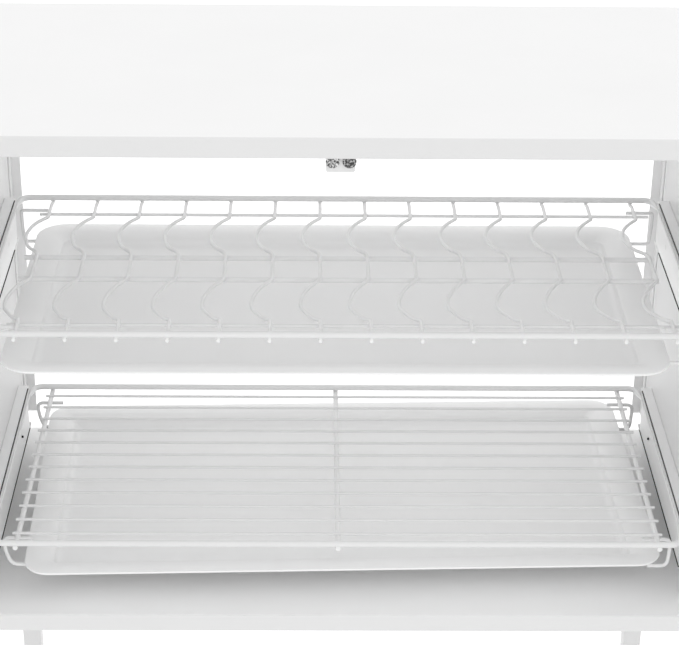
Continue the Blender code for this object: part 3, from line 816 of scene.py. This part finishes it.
@dataclass
class LowerRack(Rack):
    """The rack for bowls and cups: straight shelf wires on three bearers."""

    shelf_count: int = 12
    shelf_wire: float = 0.0028
    shelf_first: float = 0.0153
    shelf_last: float = 0.0213
    shelf_overhang: float = 0.0050
    bearer_wire: float = 0.0050
    bearer_inset: float = 0.0200
    bearer_past: float = -0.0005
    bead_width: float = 1.5
    bead_sink: float = 0.4

    def build(self) -> None:
        """Build the outer wire, bearers, shelf wires, hooks and weld beads."""
        self.build_outer_wire()
        bearer_z = self.underside - self.bearer_wire / 2
        bearer_x = self.half_x - self.bearer_inset
        columns = (-bearer_x, 0.0, bearer_x)
        bearers = draw_wire("bearers",
                            [[(x, self.rear + self.wire / 2, bearer_z),
                              (x, self.front - self.bearer_past, bearer_z)] for x in columns],
                            self.bearer_wire)
        hand_over(bearers, self.body, SOFT_WIRE, "shelf_grid")
        depth = self.rear - self.front - self.shelf_first - self.shelf_last
        pitch = depth / (self.shelf_count - 1)
        rows = [self.rear - self.shelf_first - i * pitch for i in range(self.shelf_count)]
        shelf_z = bearer_z + self.bearer_wire / 2 - self.weld + self.shelf_wire / 2
        reach = bearer_x + self.shelf_overhang
        shelf = draw_wire("shelf_wires",
                          [[(-reach, y, shelf_z), (reach, y, shelf_z)] for y in rows],
                          self.shelf_wire)
        hooks = draw_wire("lower_tray_hooks", self.hook_lines(bearer_z - self.bearer_wire / 2),
                          self.hook_wire)
        bead_z = shelf_z - self.shelf_wire * self.bead_sink
        welds = weld_beads("lower_welds", [(x, y, bead_z) for x in columns for y in rows],
                           (self.bearer_wire, self.shelf_wire * self.bead_width, self.shelf_wire))
        for piece in (shelf, hooks, welds):
            hand_over(piece, self.body, WIRE)


@dataclass
class DripTray:
    """A moulded tray with a flat rim, sloped walls and a floor that rounds up into them.

    The last six fields move its sides from its solid's, to where the photograph has them.
    """

    level: str
    rim: float = 0.0160
    rim_thickness: float = 0.0022
    wall: float = 0.0020
    corner: float = 0.0295
    corner_steps: int = 12
    end_slope: float = 0.0090
    side_slope: float = 0.0070
    foot_round: float = 0.0080
    foot_steps: int = 8
    lip: float = 0.0007
    lip_steps: int = 3
    drop: float = 0.0
    longer: float = 0.0
    aside: float = 0.0
    further_back: float = 0.0
    further_forward: float = 0.0
    yaw: float = 0.0

    def sink(self, middle: Vector, half: Point, start: float, floor: float) -> None:
        """Draw the selected face down into a basin, in edit mode.

        Args:
            middle: Middle of the tray.
            half: Half the face's length and depth.
            start: Height of the face.
            floor: Height of the basin's floor.
        """
        x, y, z = half[0], half[1], start
        for i in range(self.foot_steps + 1):
            turn = math.pi / 2 * i / self.foot_steps
            inset = self.foot_round * (1 - math.cos(turn))
            next_x, next_y = half[0] - self.end_slope - inset, half[1] - self.side_slope - inset
            next_z = floor + self.foot_round * (1 - math.sin(turn))
            extrude(0, 0, next_z - z)
            bpy.ops.transform.resize(value=(next_x / x, next_y / y, 1),
                                     center_override=(middle.x, middle.y, next_z))
            x, y, z = next_x, next_y, next_z

    def build(self) -> None:
        """Mould the tray from a flat plate and hand it over."""
        low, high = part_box(f"{self.level}_tray")
        low -= Vector((self.longer - self.aside, self.further_forward, self.drop))
        pivot = low.copy()
        high += Vector((self.longer + self.aside, self.further_back, -self.drop))
        middle = (low + high) / 2
        half_x, half_y = (high.x - low.x) / 2, (high.y - low.y) / 2
        under = high.z - self.rim_thickness
        bpy.ops.mesh.primitive_plane_add(size=1, location=(middle.x, middle.y, under))
        tray = bpy.context.object
        tray.scale = (2 * half_x, 2 * half_y, 1)
        settle(tray, f"{self.level}_tray_moulding")
        with editing(tray, "VERT"):
            bpy.ops.mesh.select_all(action="SELECT")
            bpy.ops.mesh.bevel(offset=self.corner, segments=self.corner_steps, affect="VERTICES")
            bpy.ops.mesh.select_mode(type="FACE")
            bpy.ops.mesh.select_all(action="SELECT")
            extrude(0, 0, self.rim_thickness)
            bpy.ops.mesh.select_all(action="SELECT")
            bpy.ops.mesh.normals_make_consistent(inside=False)
            for toward, inset, start, floor in (
                    (-1, self.rim, under, low.z),
                    (1, self.rim + self.wall, high.z, low.z + self.wall)):
                choose(tray, "faces", lambda place, normal: normal.z * toward > STRAIGHT
                       and abs(place.z - start) < self.lip)
                bpy.ops.mesh.inset(thickness=inset)
                self.sink(middle, (half_x - inset, half_y - inset), start, floor)
        soften(tray, self.lip, self.lip_steps, SHEET_CREASE)
        bpy.ops.transform.rotate(value=-self.yaw, orient_axis="Z", orient_type="GLOBAL",
                                 center_override=pivot)
        settle(tray, f"{self.level}_tray_moulding")
        hand_over(tray, f"{self.level}_drip_tray", TRAY, f"{self.level}_tray")


@dataclass
class Cabinet:
    """Boards, posts, legs, side sheets, strips and the slides' members."""

    tube_wall: float = 0.0012
    tube_round: float = 0.0022
    tube_steps: int = 4

    def build_tube(self, node: str, finish: Finish) -> None:
        """Build a square tube with rolled corners, in the place of a post or a leg.

        Args:
            node: The CAD node it stands for.
            finish: Its finish.
        """
        low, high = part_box(node)
        tube = add_block(f"{node}_tube", (low + high) / 2, high - low)
        with editing(tube, "EDGE"):
            choose(tube, "edges", lambda place, along: abs(along.z) > STRAIGHT)
            bpy.ops.mesh.bevel(offset=self.tube_round, segments=self.tube_steps, affect="EDGES")
            bpy.ops.mesh.select_mode(type="FACE")
            choose(tube, "faces", lambda place, normal: abs(normal.z) > STRAIGHT)
            bpy.ops.mesh.inset(thickness=self.tube_wall)
            bpy.ops.mesh.bridge_edge_loops()
        smooth(tube, TUBE_CREASE)
        hand_over(tube, "cabinet", finish, node)

    def build(self) -> None:
        """Build and dress everything that stands still, and dress the slides' members."""
        dress_nodes(BOARD, "top_panel")
        dress_nodes(LIT_LOW_BOARD, "bottom_panel")
        for side in Side:
            dress_nodes(SHADED_SHEET_COAT, f"side_panel_{side.word}")
            dress_nodes(POWDER, f"rear_strip_{side.word}")
            dress_nodes(NYLON, f"pivot_socket_{side.word}")
            for level in ("lower", "upper"):
                # Painted shade: the middle members are near black for the shade in the slides'
                # gaps.
                for member, finish in (("outer", SLIDE), ("inner", SLIDE), ("middle", GAP_SHADE_STEEL)):
                    dress_nodes(finish, f"slide_{member}_{level}_{side.word}")
            for end in ("front", "rear"):
                dress_nodes(BLACK, f"foot_{end}_{side.word}")
                self.build_tube(f"post_{end}_{side.word}", POWDER)
                self.build_tube(f"leg_{end}_{side.word}", SHADED_LEG_COAT)


@dataclass
class Slide:
    """What the solids of one slide leave out: two dark strips of painted shade along its gaps, a
    hem, and a plug or a black disc of painted shade in its hole.
    """

    level: str
    side: Side
    strip: float = 0.0004
    strip_width: float = 0.0012
    top_overhang: float = 0.0004
    foot_overhang: float = 0.0007
    foot_back: float = 0.0130
    upper_foot_back: float = 0.0290
    top_back: float = 0.0070
    hem_width: float = 0.0013
    hem_height: float = 0.0008
    lip: float = 0.0018
    clear: float = 0.0001
    plug_radius: float = 0.0024
    plug_proud: float = 0.0001
    screw_radius: float = 0.0012
    screw_proud: float = 0.0016
    plug_inset: float = 0.0530
    plug_sides: int = 20

    def add_strip(self, name: str, owner: tuple[str, Finish], start: float,
                  ends: tuple[float, float], foot: float, size: tuple[float, float]) -> None:
        """Lay a thin strip along the slide, with softened edges.

        Args:
            name: The name of the piece.
            owner: The body it rides on, and its finish.
            start: Its side towards the racks, from the cabinet's middle.
            ends: Its front and its rear end.
            foot: Height of its underside.
            size: Its width and its height.
        """
        front, back = ends
        width, height = size
        middle = (self.side.sign * (start + width / 2), (front + back) / 2, foot + height / 2)
        strip = add_block(name, middle, (width, back - front, height))
        soften(strip, self.clear)
        hand_over(strip, *owner)

    def build(self) -> None:
        """Build the outer member's strips of painted shade, and the inner member's hem and its
        plug, or on the lower slides a black disc of painted shade in its hole.
        """
        word = f"{self.level}_{self.side.word}"
        rack = f"{self.level}_rack"
        low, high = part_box(f"slide_outer_{word}")
        face = min(abs(low.x), abs(high.x))
        inner_low, inner_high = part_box(f"slide_inner_{word}")
        web = min(abs(inner_low.x), abs(inner_high.x))
        is_lower = self.level == "lower"
        foot_back = self.foot_back if is_lower else self.upper_foot_back
        shade_strip_size = (self.strip_width, self.strip)
        # The two strips are matte black and dark grey: painted shade in the gaps between the
        # slide's members.
        self.add_strip(f"gap_shade_top_{word}", ("cabinet", SHADE_GREY), face - self.top_overhang,
                       (low.y, high.y - self.top_back), high.z, shade_strip_size)
        self.add_strip(f"gap_shade_foot_{word}", ("cabinet", SHADE_BLACK), face - self.foot_overhang,
                       (low.y, high.y - foot_back), low.z + self.lip, shade_strip_size)
        self.add_strip(f"slide_hem_{word}", (rack, HEM), web - self.hem_width,
                       (inner_low.y, inner_high.y), inner_high.z + self.clear,
                       (self.hem_width, self.hem_height))
        # On the lower slides a black disc stands in the hole as painted shade; on the upper ones a
        # white nylon plug fills it.
        radius = self.screw_radius if is_lower else self.plug_radius
        proud = self.screw_proud if is_lower else self.plug_proud
        middle = (self.side.sign * (web + (self.lip - proud) / 2),
                  inner_high.y - self.plug_inset, (low.z + high.z) / 2)
        plug_or_hole_shade = add_rod(f"slide_plug_or_hole_shade_{word}", middle, (0, math.pi / 2, 0), radius,
                       self.lip + proud, self.plug_sides)
        soften(plug_or_hole_shade, self.clear)
        hand_over(plug_or_hole_shade, rack, SHADE_BLACK if is_lower else NYLON)


@dataclass
class Catch:
    """The magnetic catch: bracket and two knurled discs."""

    teeth: int = 16
    radius: float = 0.0059
    ring: float = 0.0012
    rings: int = 3
    first_ring: float = 0.6
    relief: float = 0.0002
    knurl_from: float = 0.0003
    knurl_to: float = 0.0047
    lift: float = 0.0021
    shift: float = -0.0014
    nearer: float = 0.0004
    bracket_shift: float = -0.0018
    bracket_drop: float = 0.0013
    bracket_round: float = 0.0018
    bracket_steps: int = 5
    sheet: float = 0.0015
    edge_round: float = 0.0003

    def build_bracket(self) -> None:
        """Bend the plate: one leg under the board, one down behind the discs."""
        low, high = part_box("catch_bracket")
        low.x, high.x = low.x + self.bracket_shift, high.x + self.bracket_shift
        low.z -= self.bracket_drop
        sheet = self.sheet
        middle = ((low.x + high.x) / 2, (low.y + high.y) / 2, high.z - sheet / 2)
        bracket = add_block("catch_plate", middle, (high.x - low.x, high.y - low.y, sheet))
        with editing(bracket):
            mesh = bmesh.from_edit_mesh(bracket.data)
            bmesh.ops.bisect_plane(mesh, geom=mesh.verts[:] + mesh.edges[:] + mesh.faces[:],
                                   plane_co=(0, low.y + sheet, 0), plane_no=(0, 1, 0))
            bmesh.update_edit_mesh(bracket.data)
            choose(bracket, "faces",
                   lambda place, normal: normal.z < -STRAIGHT and place.y < low.y + sheet)
            extrude(0, 0, low.z - high.z + sheet)
            bpy.ops.mesh.select_mode(type="EDGE")
            choose(bracket, "edges", lambda place, along: abs(along.y) > STRAIGHT
                   and place.z < low.z + self.edge_round)
            bpy.ops.mesh.bevel(offset=self.bracket_round, segments=self.bracket_steps,
                               affect="EDGES")
        soften(bracket, self.edge_round, degrees=SHEET_CREASE)
        hand_over(bracket, "cabinet", SHADED_SHEET_COAT, "catch_bracket")

    def build_disc(self, side: Side, finish: Finish) -> None:
        """Turn one disc and knurl its face like a chequerboard.

        Args:
            side: Which of the two.
            finish: Its finish.
        """
        node = f"catch_magnet_{side.word}"
        low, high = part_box(node)
        middle = (low + high) / 2
        middle += Vector((self.shift - side.sign * self.nearer, 0, self.lift))
        disc = add_rod(f"catch_disc_{side.word}", middle, (math.pi / 2, 0, 0), self.radius,
                       high.y - low.y, 2 * self.teeth)
        with editing(disc):
            choose(disc, "faces", lambda place, normal: normal.y < -STRAIGHT)
            bpy.ops.mesh.inset(thickness=self.ring * self.first_ring)
            extrude(0, self.relief, 0)
            for _ in range(self.rings):
                bpy.ops.mesh.inset(thickness=self.ring)
            mesh = bmesh.from_edit_mesh(disc.data)
            # Half a sector, and an even number of them that keeps int() above zero.
            offset = 4 * self.teeth + 0.5
            for face in mesh.faces:
                place = face.calc_center_median() - middle
                reach = math.hypot(place.x, place.z)
                turn = math.atan2(place.z, place.x) / math.tau * 2 * self.teeth
                field = int(turn + offset) + int(reach / self.ring)
                face.select_set(face.normal.y < -STRAIGHT and field % 2 == 0
                                and self.knurl_from < reach < self.knurl_to)
            bmesh.update_edit_mesh(disc.data)
            extrude(0, -self.relief, 0)
        hand_over(disc, "cabinet", finish, node)

    def build(self) -> None:
        """Build the bracket and the discs."""
        self.build_bracket()
        for side, finish in zip(Side, (KNURL, DARK_KNURL)):
            self.build_disc(side, finish)


@dataclass
class Door:
    """A framed glass door on two pivot pins."""

    side: Side

    def build(self) -> None:
        """Dress frame, glass, gasket, pins and strike plate."""
        for finish, parts in (
                (SHADED_DOOR_COAT, ("hinge_stile", "free_stile", "bottom_rail", "top_rail")),
                (BRIGHT, ("strike_plate", "lower_pin", "upper_pin")),
                (GLASS, ("glass",)), (RUBBER, ("gasket",))):
            dress_nodes(finish, *(f"door_{self.side.word}_{part}" for part in parts))


@dataclass(frozen=True)
class Lamp:
    """A soft rectangular lamp.

    Attributes:
        name: Its name.
        place: Where it hangs.
        aim: The point that it faces.
        size: Its width and height.
        watts: Its power.
    """

    name: str
    place: tuple[float, float, float]
    aim: tuple[float, float, float]
    size: tuple[float, float]
    watts: float

    def build(self) -> None:
        """Hang the lamp."""
        bpy.ops.object.light_add(type="AREA", location=self.place)
        lamp = bpy.context.object
        lamp.name = self.name
        lamp.data.shape = "RECTANGLE"
        lamp.data.size, lamp.data.size_y = self.size
        lamp.data.energy = self.watts
        ahead = Vector(self.aim) - Vector(self.place)
        lamp.rotation_euler = ahead.to_track_quat("-Z", "Y").to_euler()


@dataclass
class Studio:
    """Floor, lamps, world and the camera at the photograph's place.

    One lamp hangs in front. The other is a wide panel that shines in through the open back.
    """

    camera_place: tuple[float, float, float] = (-0.0252, -1.5657, 1.4690)
    pitch: float = math.radians(27.2335)
    yaw: float = math.radians(0.8883)
    roll: float = math.radians(-0.643)
    lens: float = 105.56
    sensor: float = 36.0
    clip: tuple[float, float] = (0.05, 60.0)
    floor_size: float = 30.0
    floor_tone: float = 0.86
    floor_roughness: float = 0.9
    floor_glow: float = 0.45
    ambient: float = 1.0
    lamps: tuple[Lamp, ...] = (
        Lamp("front_lamp", (0.3, -3.0, 1.3), (0, 0.15, 0.6), (3.0, 2.0), watts=9.0),
        Lamp("back_panel", (0, 2.4, 0.7), (0, 0.15, 0.55), (4.0, 1.4), watts=7.0))

    def seen_share(self, tree: NodeTree) -> NodeSocket:
        """A socket that is 1 for rays that show the background, else 0.

        Args:
            tree: Where its nodes go.

        Returns:
            The socket: 1 from the camera, off gloss and through glass.
        """
        path = add_node(tree, "LightPath")
        share = path.outputs["Is Camera Ray"]
        for kind in ("Is Glossy Ray", "Is Transmission Ray"):
            larger = add_node(tree, "Math", operation="MAXIMUM")
            tree.links.new(share, larger.inputs[0])
            tree.links.new(path.outputs[kind], larger.inputs[1])
            share = larger.outputs[0]
        return share

    def build_world(self) -> None:
        """White where it is seen, and a plain level of light elsewhere."""
        world = bpy.data.worlds.new("studio")
        bpy.context.scene.world = world
        world.use_nodes = True
        tree = world.node_tree
        level = add_node(tree, "MapRange", {"To Min": self.ambient, "To Max": 1.0})
        tree.links.new(self.seen_share(tree), level.inputs["Value"])
        back = tree.nodes["Background"]
        back.inputs["Color"].default_value = (1, 1, 1, 1)
        tree.links.new(level.outputs["Result"], back.inputs["Strength"])

    def build_floor(self) -> None:
        """A large pale floor that stays white where it is seen, and keeps the shadow."""
        bpy.ops.mesh.primitive_plane_add(size=self.floor_size, location=(0, 0, 0))
        floor = settle(bpy.context.object, "studio_floor")
        material = bpy.data.materials.new("studio_floor")
        material.use_nodes = True
        tree = material.node_tree
        shader = tree.nodes["Principled BSDF"]
        shader.inputs["Base Color"].default_value = (*grey(self.floor_tone), 1)
        shader.inputs["Roughness"].default_value = self.floor_roughness
        shader.inputs["Emission Color"].default_value = (1, 1, 1, 1)
        glow = add_node(tree, "Math", {1: self.floor_glow}, operation="MULTIPLY")
        tree.links.new(self.seen_share(tree), glow.inputs[0])
        tree.links.new(glow.outputs[0], shader.inputs["Emission Strength"])
        floor.data.materials.append(material)

    def build_camera(self) -> None:
        """The camera at the photograph's place, turn and lens."""
        ahead = Vector((math.sin(self.yaw) * math.cos(self.pitch),
                        math.cos(self.yaw) * math.cos(self.pitch), -math.sin(self.pitch)))
        right = Vector((math.cos(self.yaw), -math.sin(self.yaw), 0))
        down = ahead.cross(right)
        right, down = (math.cos(self.roll) * right + math.sin(self.roll) * down,
                       -math.sin(self.roll) * right + math.cos(self.roll) * down)
        turn = Matrix((right, -down, -ahead)).transposed().to_4x4()
        data = bpy.data.cameras.new("photo_camera")
        data.sensor_width, data.lens = self.sensor, self.lens
        data.clip_start, data.clip_end = self.clip
        camera = bpy.data.objects.new("photo_camera", data)
        bpy.context.scene.collection.objects.link(camera)
        camera.matrix_world = Matrix.Translation(self.camera_place) @ turn
        bpy.context.scene.camera = camera

    def build(self) -> None:
        """Build the whole studio."""
        bpy.context.scene.view_settings.view_transform = "Standard"
        self.build_camera()
        self.build_world()
        self.build_floor()
        for lamp in self.lamps:
            lamp.build()


def main() -> None:
    """Build the studio and every sub-assembly in order."""
    logging.basicConfig(level=logging.INFO, format="%(name)s %(message)s")
    Studio().build()
    Cabinet().build()
    for level in ("upper", "lower"):
        for side in Side:
            Slide(level, side).build()
    Catch().build()
    UpperRack("upper").build()
    LowerRack("lower").build()
    DripTray("upper", drop=0.0045, longer=0.0040, aside=-0.0035, further_back=0.0090).build()
    DripTray("lower", corner=0.0240, longer=0.0050, aside=0.0070, further_back=0.0030,
             further_forward=0.0052, yaw=math.radians(1.75)).build()
    for side in Side:
        Door(side).build()


if __name__ == "__main__":
    main()
